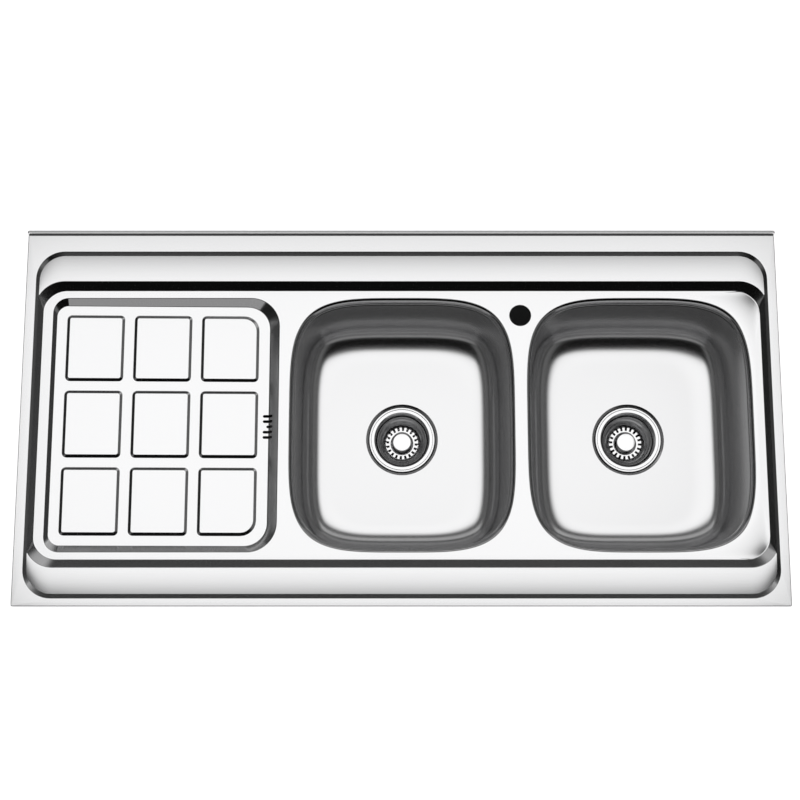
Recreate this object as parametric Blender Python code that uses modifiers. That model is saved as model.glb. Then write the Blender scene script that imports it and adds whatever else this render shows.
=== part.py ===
# Lay-on kitchen sink: a drainer tray and two deep bowls in one pressed deck, each bowl with a basket waste.
# Metres, +Z up. The origin is the plan centre on the rest plane, +X runs to the right and +Y to the wall.

import math

import bmesh
import bpy

mm = 0.001

# Sheet, clearances and roundness
SHEET = 1.0 * mm
GAP = 0.3 * mm             # between pieces that touch
THREAD_GAP = 0.5 * mm      # between a thread and its nut
ROUND = 28                 # sides of the turned pieces that show
HIDDEN_ROUND = 20          # sides of the turned pieces that don't
SPIGOT_ROUND = 16          # sides of the hose spigots
STEP_CORNER_STEPS = 7
TRAY_CORNER_STEPS = 5
PAD_CORNER_STEPS = 2
OUTLINE_CORNER_STEPS = 2
SLOT_END_STEPS = 2
SOUND_PAD_STEPS = 4
COVE_STEPS = 2
ROLL_STEPS = 2
SHARP_ANGLE = math.radians(35)
MERGE = 0.01 * mm          # points closer than this are one
CUT_OVER = 5 * mm          # cutters run on this far past what they cut

# Outline of the deck, its flange and the lip it rests on
SINK_LENGTH = 1200 * mm
SINK_DEPTH = 600 * mm
RIM_HEIGHT = 35 * mm       # rim above the rest plane
BEND_RADIUS = 2.5 * mm
CORNER_RADIUS = 3.0 * mm
REST_LIP = 14 * mm
UPSTAND_HEIGHT = 7 * mm    # low ridge along the rear edge
UPSTAND_WIDTH = 4 * mm
UPSTAND_COVE = 3.3 * mm

# Rim flat, upper step, ledge and lower step
RIM_SIDE = 15.5 * mm
RIM_FRONT = 12.8 * mm
RIM_REAR = 24.8 * mm
RIM_RADIUS = 45 * mm
UPPER_DROP = 4 * mm
UPPER_RUN = 6.7 * mm
UPPER_SIDE_RUN = 3.7 * mm
LEDGE_FRONT = 41.4 * mm
LEDGE_REAR = 43.5 * mm
LEDGE_SIDE = 0.4 * mm      # the ledge tapers to crescents at its ends
LOWER_DROP = 8 * mm
LOWER_RUN = 13 * mm
LOWER_SIDE_RUN = 6.9 * mm
STEP_RADIUS = 40 * mm
DECK_RADIUS = 37 * mm

# Places of the three compartments on the deck
DECK_SIDE = 16.2 * mm
DECK_FRONT = 10.9 * mm
DECK_REAR = 12.4 * mm
BOWL_WIDTH = 356 * mm
BOWL_SPACING = 22 * mm
TRAY_SPACING = 17.5 * mm

# Drainer tray, its pads and its outlet slots
TRAY_LEFT_RADIUS = 24 * mm
TRAY_RIGHT_RADIUS = 47 * mm
TRAY_LEFT_DEPTH = 6 * mm
TRAY_RIGHT_DEPTH = 15 * mm
TRAY_END_RUN = 11.3 * mm   # run of the front and rear walls
PAD_ROWS = 3
PAD_COLUMNS = 3
PAD_GAP = 14.6 * mm
PAD_SIDE = 16 * mm
PAD_OUTLET_SIDE = 18 * mm
PAD_END = 15 * mm
PAD_RISE = 3.5 * mm
PAD_BEVEL = 5 * mm
PAD_RADIUS = 8 * mm
PAD_OUTER_RADIUS = 25 * mm
SLOT_COUNT = 5
SLOT_WIDTH = 4.5 * mm
SLOT_PITCH = 8.5 * mm
SLOT_ON_FLOOR = 10.6 * mm
SLOT_ON_WALL = 5 * mm
MIDDLE_SLOT_CUT = 5.7 * mm  # the middle slot is this much shorter
SLOT_SHIFT = -3.4 * mm      # from the tray's middle towards the front

# Tap hole
TAP_HOLE_RADIUS = 17.5 * mm
TAP_HOLE_BACK = 28.5 * mm   # from the rear ends of the bowls

# Bowls
BOWL_DEPTH = 150 * mm
BOWL_POWER = 4.4            # superellipse power of the outline
BOWL_SIDES = 32
LIP_ROLL = 6 * mm
LIP_COLLAR = 8 * mm
COLLAR_LAP = 5 * mm
JOGGLE = 1.8 * mm
BOWL_DRAFT = 8 * mm
BOWL_FILLET = 32 * mm
FILLET_STEPS = 3
RECESS_CLEAR = 1.0 * mm     # between the waste's flange and its recess
RECESS_TAPER = 3.5 * mm
RECESS_DEPTH = 3.5 * mm
DRAIN_CLEAR = 1.0 * mm      # between the waste's thread and the bowl

# Pads that quieten the bowls
SOUND_PAD_MARGIN = 37 * mm  # inside the bowl floor's edge
SOUND_PAD_RADIUS = 20 * mm
SOUND_PAD_THICK = 2.5 * mm
SOUND_PAD_CLEAR = 6 * mm    # round the drain recess

# Stiffener channels under the tray
CHANNEL_WIDTH = 24 * mm
CHANNEL_HEIGHT = 14 * mm
CHANNEL_WALL = 1.2 * mm
CHANNEL_END = 12 * mm       # short of the tray floor's ends

# Cup and gasket under the tray's slots
CUP_MARGIN = 8 * mm
CUP_WALL_MARGIN = 4 * mm
CUP_WALL = 2 * mm
CUP_DEPTH = 34 * mm         # below the tray floor's lowest edge
GASKET = 1.5 * mm
SPIGOT_RADIUS = 10 * mm
SPIGOT_BORE = 7.5 * mm
SPIGOT_LENGTH = 26 * mm
SPIGOT_RIBS = 3
SPIGOT_RIB = 0.9 * mm

# Basket wastes: depths are below the flange top
CUP_RADIUS = 45.5 * mm      # outside of the threaded cup
FLANGE_WIDTH = 10 * mm      # beyond the cup
FLANGE_THICK = 1.5 * mm
FLANGE_EDGE = 0.6 * mm
SEAL_THICK = 1.5 * mm
SEAL_INSET = 1.7 * mm       # inside the flange's edge
DISH_WALL = 1.5 * mm
DISH_ROLL = 2.5 * mm
DISH_TAPER = 1.4 * mm
SEAT_DEPTH = 13 * mm        # shoulder that the basket's rim sits on
SEAT_WIDTH = 4 * mm
CUP_TAPER = 2.6 * mm
BODY_WALL = 1.8 * mm
THREAD_LENGTH = 27 * mm
TAIL_RADIUS = 23.5 * mm
TAIL_WALL = 3.5 * mm
TAIL_LENGTH = 26 * mm
WASHER_WIDTH = 9 * mm
UNDER_WASHER = 2.5 * mm
FRICTION_WASHER = 0.8 * mm
LOCK_NUT_HEIGHT = 14 * mm
LOCK_NUT_WALL = 7 * mm
NUT_LUGS = 6
LUG_HEIGHT = 5 * mm

# Basket, stopper and knob
BASKET_SHEET = 0.9 * mm
BASKET_CLEAR = 2.0 * mm     # between the basket's rim and the dish
NECK_CLEAR = 1.8 * mm       # between the basket's wall and the shoulder
BASKET_DROP = 23.4 * mm     # from the shoulder to the basket's floor
BASKET_TAPER = 5.8 * mm
BASKET_FOOT_RUN = 2.5 * mm
BASKET_FOOT_RISE = 3.4 * mm
TOOTH_COUNT = 20
TOOTH_LENGTH = 6.5 * mm
STOPPER_HEIGHT = 6.3 * mm
STOPPER_LAP = 6 * mm        # beyond the tail's bore
STOPPER_BOSS = 9 * mm
STOPPER_BOSS_HEIGHT = 1.6 * mm
STOPPER_CHAMFER = 1.5 * mm
STEM_RADIUS = 3.4 * mm
STEM_CLEAR = 0.4 * mm
STEM_LENGTH = 5.6 * mm
KNOB_RADIUS = 16 * mm
KNOB_HEIGHT = 15.6 * mm
KNOB_DOME = 7.5 * mm
KNOB_EDGE = 1.8 * mm
KNOB_FOOT = 7.5 * mm
KNOB_NECK = 5 * mm
DOME_STEPS = 4

# Outlet joint below each waste
TAIL_WASHER = 2 * mm
TAILPIECE_STEP = 4 * mm     # the tailpiece is this much smaller than the tail
TAILPIECE_WALL = 1.7 * mm
TAILPIECE_LENGTH = 72 * mm
TAILPIECE_FLANGE = 2 * mm
COUPLING_GRIP = 14 * mm     # how far the nut climbs the tail
COUPLING_LIP = 2.7 * mm
COUPLING_WALL = 4 * mm
COUPLING_LUG = 2.5 * mm
BRANCH_DROP = 30 * mm       # hose branch below the left tailpiece's flange

# Sizes that follow from those above
HALF_LENGTH = SINK_LENGTH / 2
HALF_DEPTH = SINK_DEPTH / 2
UPSTAND_FOOT = HALF_DEPTH - UPSTAND_WIDTH - UPSTAND_COVE
DECK_Z = RIM_HEIGHT - UPPER_DROP - LOWER_DROP
BOWL_FLOOR_Z = DECK_Z - BOWL_DEPTH
FLANGE_Z = BOWL_FLOOR_Z - RECESS_DEPTH + GAP + SEAL_THICK + GAP + FLANGE_THICK
RECESS_UNDER = FLANGE_Z - (BOWL_FLOOR_Z - RECESS_DEPTH - SHEET)
FLOOR_INSET = LIP_ROLL + BOWL_DRAFT + BOWL_FILLET  # bowl floor inside the bowl's outline
FLANGE_RADIUS = CUP_RADIUS + FLANGE_WIDTH
DRAIN_RADIUS = CUP_RADIUS + DRAIN_CLEAR
RECESS_RADIUS = FLANGE_RADIUS + RECESS_CLEAR + RECESS_TAPER
DISH_RADIUS = CUP_RADIUS - DISH_WALL
SEAT_OUTER = DISH_RADIUS - DISH_TAPER
SEAT_INNER = SEAT_OUTER - SEAT_WIDTH
CUP_FLOOR_RADIUS = SEAT_INNER - CUP_TAPER
TAIL_BORE = TAIL_RADIUS - TAIL_WALL
TAILPIECE_RADIUS = TAIL_RADIUS - TAILPIECE_STEP
BASKET_RIM = SEAT_OUTER - BASKET_CLEAR
BASKET_NECK = SEAT_INNER - NECK_CLEAR
BASKET_FOOT = BASKET_NECK - BASKET_TAPER
BASKET_FLOOR = BASKET_FOOT - BASKET_FOOT_RUN
TOOTH_ROOT = BASKET_FLOOR - TOOTH_LENGTH
BASKET_EYE = STEM_RADIUS + STEM_CLEAR
BASKET_DEPTH = SEAT_DEPTH + BASKET_DROP
STOPPER_RADIUS = TAIL_BORE + STOPPER_LAP
STOPPER_TOP = -BASKET_DEPTH - BASKET_SHEET - GAP
CUP_FLOOR = STOPPER_HEIGHT + GAP - STOPPER_TOP
KNOB_SEAT = -BASKET_DEPTH + GAP
POINTS_PER_LUG = 4
NUT_SIDES = POINTS_PER_LUG * NUT_LUGS


def grown(box, left, right, front, rear):
    x0, x1, y0, y1 = box
    return (x0 - left, x1 + right, y0 - front, y1 + rear)


TOP_BOX = (-HALF_LENGTH, HALF_LENGTH, -HALF_DEPTH, UPSTAND_FOOT)
RIM_BOX = grown(TOP_BOX, -RIM_SIDE, -RIM_SIDE, -RIM_FRONT, -RIM_REAR)
LEDGE_BOX = grown(RIM_BOX, -UPPER_SIDE_RUN, -UPPER_SIDE_RUN, -UPPER_RUN, -UPPER_RUN)
STEP_BOX = grown(LEDGE_BOX, -LEDGE_SIDE, -LEDGE_SIDE, -LEDGE_FRONT, -LEDGE_REAR)
DECK_BOX = grown(STEP_BOX, -LOWER_SIDE_RUN, -LOWER_SIDE_RUN, -LOWER_RUN, -LOWER_RUN)
BAY_FRONT = DECK_BOX[2] + DECK_FRONT
BAY_REAR = DECK_BOX[3] - DECK_REAR
BAY_Y = (BAY_FRONT + BAY_REAR) / 2
BOWL_X = {"right": DECK_BOX[1] - DECK_SIDE - BOWL_WIDTH / 2}
BOWL_X["left"] = BOWL_X["right"] - BOWL_WIDTH - BOWL_SPACING
TRAY_BOX = (DECK_BOX[0] + DECK_SIDE, BOWL_X["left"] - BOWL_WIDTH / 2 - TRAY_SPACING, BAY_FRONT, BAY_REAR)
FLOOR_BOX = grown(TRAY_BOX, -TRAY_LEFT_DEPTH, -TRAY_RIGHT_DEPTH, -TRAY_END_RUN, -TRAY_END_RUN)
FLOOR_FALL = (TRAY_RIGHT_DEPTH - TRAY_LEFT_DEPTH) / (FLOOR_BOX[1] - FLOOR_BOX[0])
SLOT_Y = BAY_Y + SLOT_SHIFT
SLOT_START = FLOOR_BOX[1] - SLOT_ON_FLOOR
SLOT_END = FLOOR_BOX[1] + SLOT_ON_WALL

# Colour, roughness and metallic value of each finish
FINISHES = {
    "satin_steel": ((0.62, 0.62, 0.63), 0.28, 1.0),
    "polished_steel": ((0.72, 0.72, 0.73), 0.12, 1.0),
    "zinc_plate": ((0.55, 0.56, 0.57), 0.40, 1.0),
    "black_rubber": ((0.03, 0.03, 0.03), 0.70, 0.0),
    "grey_damping": ((0.16, 0.16, 0.17), 0.85, 0.0),
    "white_plastic": ((0.80, 0.80, 0.79), 0.45, 0.0),
    "black_plastic": ((0.04, 0.04, 0.04), 0.50, 0.0),
    "slip_card": ((0.70, 0.66, 0.55), 0.80, 0.0),
}


def clear_scene():
    for item in list(bpy.data.objects):
        bpy.data.objects.remove(item, do_unlink=True)


def new_collection(name):
    collection = bpy.data.collections.new(name)
    bpy.context.scene.collection.children.link(collection)
    return collection


def new_material(part_name, finish):
    colour, roughness, metallic = FINISHES[finish]
    material = bpy.data.materials.new(part_name)
    material.use_nodes = True
    shader = material.node_tree.nodes["Principled BSDF"]
    shader.inputs["Base Color"].default_value = (*colour, 1.0)
    shader.inputs["Roughness"].default_value = roughness
    shader.inputs["Metallic"].default_value = metallic
    return material


def add_part(name, data, finish, parent=None, location=(0, 0, 0), rotation=(0, 0, 0)):
    part = bpy.data.objects.new(name, data)
    part.data.materials.append(new_material(name, finish))
    part.parent = parent
    part.location = location
    part.rotation_euler = rotation
    parts.objects.link(part)
    return part


def add_cutter(name, mesh, parent=None, location=(0, 0, 0), rotation=(0, 0, 0)):
    cutter = bpy.data.objects.new(name, mesh)
    cutter.parent = parent
    cutter.location = location
    cutter.rotation_euler = rotation
    cutter.hide_render = True
    cutter.display_type = "WIRE"
    cutters.objects.link(cutter)
    return cutter


def combine(part, tool, operation):
    boolean = part.modifiers.new(operation.lower(), "BOOLEAN")
    boolean.operation = operation
    boolean.object = tool
    boolean.solver = "EXACT"


def mesh_from(bm, name):
    mesh = bpy.data.meshes.new(name)
    bm.to_mesh(mesh)
    bm.free()
    mesh.shade_smooth()
    mesh.set_sharp_from_angle(angle=SHARP_ANGLE)
    return mesh


def rounded_rectangle(box, radii, steps):
    # Anticlockwise from the front left corner; the radii follow the same order.
    x0, x1, y0, y1 = box
    front_left, front_right, rear_right, rear_left = radii
    corners = (
        (x0 + front_left, y0 + front_left, front_left, 180),
        (x1 - front_right, y0 + front_right, front_right, 270),
        (x1 - rear_right, y1 - rear_right, rear_right, 0),
        (x0 + rear_left, y1 - rear_left, rear_left, 90),
    )
    points = []
    for centre_x, centre_y, radius, start in corners:
        for step in range(steps + 1):
            angle = math.radians(start + 90 * step / steps)
            point = (centre_x + radius * math.cos(angle), centre_y + radius * math.sin(angle))
            if not points or math.dist(point, points[-1]) > MERGE:
                points.append(point)
    if math.dist(points[0], points[-1]) < MERGE:
        points.pop()
    return points


def circle(centre, radius, sides):
    angles = [2 * math.pi * side / sides for side in range(sides)]
    return [(centre[0] + radius * math.cos(angle), centre[1] + radius * math.sin(angle)) for angle in angles]


def clear_bore(radius, sides):
    # A bore whose flats, not its corners, lie at the radius.
    return radius / math.cos(math.pi / sides)


def lugged_circle(radius, lug):
    # A lug's first and last points stay on the circle.
    points = []
    for index in range(NUT_SIDES):
        angle = 2 * math.pi * index / NUT_SIDES
        reach = radius + (lug if 0 < index % POINTS_PER_LUG < POINTS_PER_LUG - 1 else 0)
        points.append((reach * math.cos(angle), reach * math.sin(angle)))
    return points


def bowl_outline(side, inset):
    # A superellipse, moved in along its own normals.
    half_x = BOWL_WIDTH / 2
    half_y = (BAY_REAR - BAY_FRONT) / 2
    points = []
    for index in range(BOWL_SIDES):
        angle = 2 * math.pi * index / BOWL_SIDES
        cosine = math.copysign(abs(math.cos(angle)) ** (2 / BOWL_POWER), math.cos(angle))
        sine = math.copysign(abs(math.sin(angle)) ** (2 / BOWL_POWER), math.sin(angle))
        normal_x = math.copysign(abs(cosine) ** (BOWL_POWER - 1), cosine) / half_x
        normal_y = math.copysign(abs(sine) ** (BOWL_POWER - 1), sine) / half_y
        scale = inset / math.hypot(normal_x, normal_y)
        points.append((BOWL_X[side] + half_x * cosine - normal_x * scale,
                       BAY_Y + half_y * sine - normal_y * scale))
    return points


def add_ring(bm, points, height):
    # A closed loop of edges; the height is a number or a function of x.
    level = height if callable(height) else lambda x: height
    ring = [bm.verts.new((x, y, level(x))) for x, y in points]
    for first, second in zip(ring, ring[1:] + ring[:1]):
        bm.edges.new((first, second))
    return ring


def loft(bm, rings):
    for lower, upper in zip(rings, rings[1:]):
        for index in range(len(lower)):
            following = (index + 1) % len(lower)
            bm.faces.new((lower[index], lower[following], upper[following], upper[index]))


def fill_between(bm, rings):
    edges = []
    for ring in rings:
        for first, second in zip(ring, ring[1:] + ring[:1]):
            edges.append(bm.edges.get((first, second)) or bm.edges.new((first, second)))
    filled = bmesh.ops.triangle_fill(bm, edges=edges, normal=(0, 0, 1))["geom"]
    faces = [item for item in filled if isinstance(item, bmesh.types.BMFace)]
    inner = [item for item in filled if isinstance(item, bmesh.types.BMEdge)]
    bmesh.ops.beautify_fill(bm, faces=faces, edges=inner, method="ANGLE")


def face_up(bm):
    bmesh.ops.recalc_face_normals(bm, faces=bm.faces)
    if sum(face.normal.z * face.calc_area() for face in bm.faces) < 0:
        bmesh.ops.reverse_faces(bm, faces=bm.faces)


def add_sheet(name, bm, thickness, finish, parent=None):
    face_up(bm)
    part = add_part(name, mesh_from(bm, name), finish, parent)
    wall = part.modifiers.new("wall", "SOLIDIFY")
    wall.thickness = thickness
    wall.offset = -1
    wall.use_even_offset = True
    wall.use_quality_normals = True
    return part


def turned_mesh(name, profile):
    # The profile runs down its outer side. One that starts and ends on the axis stays open there.
    mesh = bpy.data.meshes.new(name)
    last = len(profile) - 1
    edges = [(index, index + 1) for index in range(last)]
    if profile[0][0] > 0:
        edges.append((last, 0))
    mesh.from_pydata([(radius, 0, height) for radius, height in profile], edges, [])
    return mesh


def turn(part, sides):
    screw = part.modifiers.new("turn", "SCREW")
    screw.steps = sides
    screw.render_steps = sides
    screw.use_merge_vertices = True
    screw.merge_threshold = MERGE
    return part


def add_turned(name, profile, sides, finish, parent):
    return turn(add_part(name, turned_mesh(name, profile), finish, parent), sides)


def washer_profile(inner, outer, top, thickness):
    return [(outer, top), (outer, top - thickness), (inner, top - thickness), (inner, top)]


def prism_mesh(name, points, low, high):
    bm = bmesh.new()
    bottom = add_ring(bm, points, low)
    top = add_ring(bm, points, high)
    loft(bm, [bottom, top])
    bm.faces.new(bottom)
    bm.faces.new(top)
    bmesh.ops.recalc_face_normals(bm, faces=bm.faces)
    return mesh_from(bm, name)


def tray_floor_z(x):
    return DECK_Z - TRAY_LEFT_DEPTH - FLOOR_FALL * (x - FLOOR_BOX[0])


def pad_top_z(x):
    return tray_floor_z(x) + PAD_RISE


def under_tray(below, left, right):
    # Line at an even distance under the tray's floor and its right wall, from left to right.
    bend_x, bend_z = FLOOR_BOX[1], tray_floor_z(FLOOR_BOX[1])
    wall_rise = (DECK_Z - bend_z) / (TRAY_BOX[1] - FLOOR_BOX[1])
    floor_drop = below * math.hypot(1, FLOOR_FALL)
    wall_drop = below * math.hypot(1, wall_rise)
    turn_x = bend_x + (wall_drop - floor_drop) / (wall_rise + FLOOR_FALL)
    return [
        (left, bend_z - FLOOR_FALL * (left - bend_x) - floor_drop),
        (turn_x, bend_z - FLOOR_FALL * (turn_x - bend_x) - floor_drop),
        (right, bend_z + wall_rise * (right - bend_x) - wall_drop),
    ]


def cove(step):
    # Height of the rear upstand's front face at a step from its foot, 0, to its top, 1.
    angle = math.pi / 2 * step
    return (UPSTAND_FOOT + UPSTAND_COVE * math.sin(angle), UPSTAND_HEIGHT * (1 - math.cos(angle)))


COVE = [cove(step / COVE_STEPS) for step in range(COVE_STEPS + 1)]
FRONT_POINTS = 2 * (OUTLINE_CORNER_STEPS + 1)  # points of an outline's two front corners


def outline_box(inset):
    return grown((-HALF_LENGTH, HALF_LENGTH, -HALF_DEPTH, HALF_DEPTH), -inset, -inset, -inset, -inset)


def outline_corners(inset):
    # The points of the outline's four rounded corners.
    radius = max(CORNER_RADIUS - inset, CORNER_RADIUS - BEND_RADIUS)
    return rounded_rectangle(outline_box(inset), (radius,) * 4, OUTLINE_CORNER_STEPS)


def add_top_ring(bm, inset, drop):
    # A loop that keeps a drop under the rim and the upstand, with the cove's points on both sides.
    corners = outline_corners(inset)
    x0, x1, y0, y1 = outline_box(inset)
    ring = [(x, y, 0) for x, y in corners[:FRONT_POINTS]]
    ring += [(x1, y, rise) for y, rise in COVE]
    ring += [(x, y, UPSTAND_HEIGHT) for x, y in corners[FRONT_POINTS:]]
    ring += [(x0, y, rise) for y, rise in reversed(COVE)]
    return [bm.verts.new((x, y, RIM_HEIGHT + rise - drop)) for x, y, rise in ring]


def add_flange_wall(bm, lower, upper):
    # The upper loop has the cove's points between the front and the rear corners.
    places = [index + (len(COVE) if index >= FRONT_POINTS else 0) for index in range(len(lower))]
    places.append(len(upper))
    closed = upper + upper[:1]
    for index, first in enumerate(lower):
        second = lower[(index + 1) % len(lower)]
        chain = closed[places[index]:places[index + 1] + 1]
        bm.faces.new([first, second] + chain[::-1])


def add_rim(bm):
    # Rest lip, flange, rim and the upstand; returns the loop where the pressed steps start.
    bend = BEND_RADIUS * (1 - math.sqrt(0.5))
    lower = [
        add_ring(bm, outline_corners(REST_LIP), 0),
        add_ring(bm, outline_corners(BEND_RADIUS), 0),
        add_ring(bm, outline_corners(bend), bend),
        add_ring(bm, outline_corners(0), BEND_RADIUS),
    ]
    upper = [
        add_top_ring(bm, 0, BEND_RADIUS),
        add_top_ring(bm, bend, bend),
        add_top_ring(bm, BEND_RADIUS, 0),
    ]
    loft(bm, lower)
    add_flange_wall(bm, lower[-1], upper[0])
    loft(bm, upper)
    top = upper[-1]
    right = top[FRONT_POINTS:FRONT_POINTS + len(COVE)]
    left = top[:-len(COVE) - 1:-1]
    bm.faces.new(top[FRONT_POINTS + len(COVE) - 1:1 - len(COVE)])
    for low in range(len(COVE) - 1):
        bm.faces.new((right[low], right[low + 1], left[low + 1], left[low]))
    step_top = add_ring(bm, rounded_rectangle(RIM_BOX, (RIM_RADIUS,) * 4, STEP_CORNER_STEPS), RIM_HEIGHT)
    fill_between(bm, [top[:FRONT_POINTS] + [right[0], left[0]], step_top])
    return step_top


def add_steps(bm, step_top):
    # Upper step, crescent ledge and lower step down to the deck.
    ledge_z = RIM_HEIGHT - UPPER_DROP
    levels = [
        (LEDGE_BOX, RIM_RADIUS - UPPER_SIDE_RUN, ledge_z),
        (STEP_BOX, STEP_RADIUS, ledge_z),
        (DECK_BOX, DECK_RADIUS, DECK_Z),
    ]
    rings = [step_top]
    for box, radius, height in levels:
        rings.append(add_ring(bm, rounded_rectangle(box, (radius,) * 4, STEP_CORNER_STEPS), height))
    loft(bm, rings)
    return rings[-1]


def add_bowl_lip(bm, side):
    rings = []
    for step in range(ROLL_STEPS + 1):
        angle = math.pi / 2 * step / ROLL_STEPS
        outline = bowl_outline(side, LIP_ROLL * math.sin(angle))
        rings.append(add_ring(bm, outline, DECK_Z - LIP_ROLL * (1 - math.cos(angle))))
    rings.append(add_ring(bm, bowl_outline(side, LIP_ROLL), DECK_Z - LIP_ROLL - LIP_COLLAR))
    loft(bm, rings)
    return rings[0]


def pad_boxes():
    # Yields each pad's box and corner radii; the outlet side's end corners follow the tray's.
    x0, x1, y0, y1 = grown(FLOOR_BOX, -PAD_SIDE, -PAD_OUTLET_SIDE, -PAD_END, -PAD_END)
    width = (x1 - x0 - (PAD_COLUMNS - 1) * PAD_GAP) / PAD_COLUMNS
    length = (y1 - y0 - (PAD_ROWS - 1) * PAD_GAP) / PAD_ROWS
    for column in range(PAD_COLUMNS):
        for row in range(PAD_ROWS):
            left = x0 + column * (width + PAD_GAP)
            front = y0 + row * (length + PAD_GAP)
            last = column == PAD_COLUMNS - 1
            outer = min(PAD_OUTER_RADIUS, width / 2)
            front_right = outer if last and row == 0 else PAD_RADIUS
            rear_right = outer if last and row == PAD_ROWS - 1 else PAD_RADIUS
            radii = (PAD_RADIUS, front_right, rear_right, PAD_RADIUS)
            yield (left, left + width, front, front + length), radii


def add_tray(bm):
    left, right = TRAY_LEFT_RADIUS, TRAY_RIGHT_RADIUS
    outline = rounded_rectangle(TRAY_BOX, (left, right, right, left), TRAY_CORNER_STEPS)
    edge = add_ring(bm, outline, DECK_Z)
    left, right = left - TRAY_LEFT_DEPTH, right - TRAY_END_RUN
    outline = rounded_rectangle(FLOOR_BOX, (left, right, right, left), TRAY_CORNER_STEPS)
    floor = add_ring(bm, outline, tray_floor_z)
    loft(bm, [edge, floor])
    feet = []
    for box, radii in pad_boxes():
        foot = add_ring(bm, rounded_rectangle(box, radii, PAD_CORNER_STEPS), tray_floor_z)
        inner_box = grown(box, -PAD_BEVEL, -PAD_BEVEL, -PAD_BEVEL, -PAD_BEVEL)
        inner_radii = [radius - PAD_BEVEL for radius in radii]
        top = add_ring(bm, rounded_rectangle(inner_box, inner_radii, PAD_CORNER_STEPS), pad_top_z)
        loft(bm, [foot, top])
        bm.faces.new(top)
        feet.append(foot)
    fill_between(bm, [floor] + feet)
    return edge


def build_deck():
    bm = bmesh.new()
    holes = [add_steps(bm, add_rim(bm))]
    holes += [add_bowl_lip(bm, side) for side in BOWL_X]
    holes.append(add_tray(bm))
    tap = ((BOWL_X["left"] + BOWL_X["right"]) / 2, BAY_REAR - TAP_HOLE_BACK)
    holes.append(add_ring(bm, circle(tap, TAP_HOLE_RADIUS, HIDDEN_ROUND), DECK_Z))
    fill_between(bm, holes)
    deck = add_sheet("deck", bm, SHEET, "satin_steel")
    below = tray_floor_z(FLOOR_BOX[1]) - SHEET - CUT_OVER
    for index in range(SLOT_COUNT):
        offset = index - (SLOT_COUNT - 1) / 2
        start = SLOT_START + (MIDDLE_SLOT_CUT if offset == 0 else 0)
        middle = SLOT_Y + offset * SLOT_PITCH
        box = (start, SLOT_END, middle - SLOT_WIDTH / 2, middle + SLOT_WIDTH / 2)
        outline = rounded_rectangle(box, (SLOT_WIDTH / 2,) * 4, SLOT_END_STEPS)
        slot = add_cutter(f"tray_slot_{index + 1}", prism_mesh("tray_slot", outline, below, DECK_Z))
        combine(deck, slot, "DIFFERENCE")


def build_bowl(side):
    # The collar laps the outside of the deck's lip, then steps in so that both are flush inside.
    collar_end = DECK_Z - LIP_ROLL - LIP_COLLAR - GAP
    lap_inset = LIP_ROLL - SHEET - GAP
    levels = [
        (lap_inset, collar_end + COLLAR_LAP),
        (lap_inset, collar_end),
        (LIP_ROLL, collar_end - JOGGLE),
    ]
    for step in range(FILLET_STEPS + 1):
        angle = math.pi / 2 * step / FILLET_STEPS
        levels.append((FLOOR_INSET - BOWL_FILLET * math.cos(angle),
                       BOWL_FLOOR_Z + BOWL_FILLET * (1 - math.sin(angle))))
    bm = bmesh.new()
    walls = [add_ring(bm, bowl_outline(side, inset), height) for inset, height in levels]
    loft(bm, walls)
    centre = (BOWL_X[side], BAY_Y)
    recess_z = BOWL_FLOOR_Z - RECESS_DEPTH
    drain = [
        add_ring(bm, circle(centre, RECESS_RADIUS, ROUND), BOWL_FLOOR_Z),
        add_ring(bm, circle(centre, RECESS_RADIUS - RECESS_TAPER, ROUND), recess_z),
        add_ring(bm, circle(centre, DRAIN_RADIUS, ROUND), recess_z),
    ]
    loft(bm, drain)
    fill_between(bm, [walls[-1], drain[0]])
    add_sheet(f"{side}_bowl", bm, SHEET, "satin_steel")


def build_sound_pad(side, waste):
    half_x = BOWL_WIDTH / 2 - FLOOR_INSET - SOUND_PAD_MARGIN
    half_y = (BAY_REAR - BAY_FRONT) / 2 - FLOOR_INSET - SOUND_PAD_MARGIN
    name = f"{side}_sound_pad"
    flat = bpy.data.curves.new(name, "CURVE")
    flat.dimensions = "2D"
    flat.fill_mode = "BOTH"
    flat.extrude = SOUND_PAD_THICK / 2
    edge = rounded_rectangle((-half_x, half_x, -half_y, half_y), (SOUND_PAD_RADIUS,) * 4, SOUND_PAD_STEPS)
    for points in (edge, circle((0, 0), RECESS_RADIUS + SHEET + SOUND_PAD_CLEAR, ROUND)):
        spline = flat.splines.new("POLY")
        spline.points.add(len(points) - 1)
        for point, (x, y) in zip(spline.points, points):
            point.co = (x, y, 0, 1)
        spline.use_cyclic_u = True
    height = BOWL_FLOOR_Z - SHEET - GAP - SOUND_PAD_THICK / 2 - FLANGE_Z
    add_part(name, flat, "grey_damping", waste, (0, 0, height))


def build_stiffeners():
    half, wall = CHANNEL_WIDTH / 2, CHANNEL_WALL
    section = [(-half, 0), (-half, -CHANNEL_HEIGHT), (wall - half, -CHANNEL_HEIGHT), (wall - half, -wall),
               (half - wall, -wall), (half - wall, -CHANNEL_HEIGHT), (half, -CHANNEL_HEIGHT), (half, 0)]
    reach = (FLOOR_BOX[3] - FLOOR_BOX[2]) / 2 - CHANNEL_END
    edges = sorted({box[0] for box, radii in pad_boxes()})
    tilt = math.atan(FLOOR_FALL)
    for name, pad_edge in zip(("tray_stiffener_left", "tray_stiffener_right"), edges[1:]):
        x = pad_edge - PAD_GAP / 2
        z = tray_floor_z(x) - (SHEET + GAP) / math.cos(tilt)
        middle = (FLOOR_BOX[2] + FLOOR_BOX[3]) / 2
        mesh = prism_mesh(name, section, -reach, reach)
        add_part(name, mesh, "zinc_plate", None, (x, middle, z), (math.pi / 2, tilt, 0))


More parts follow.
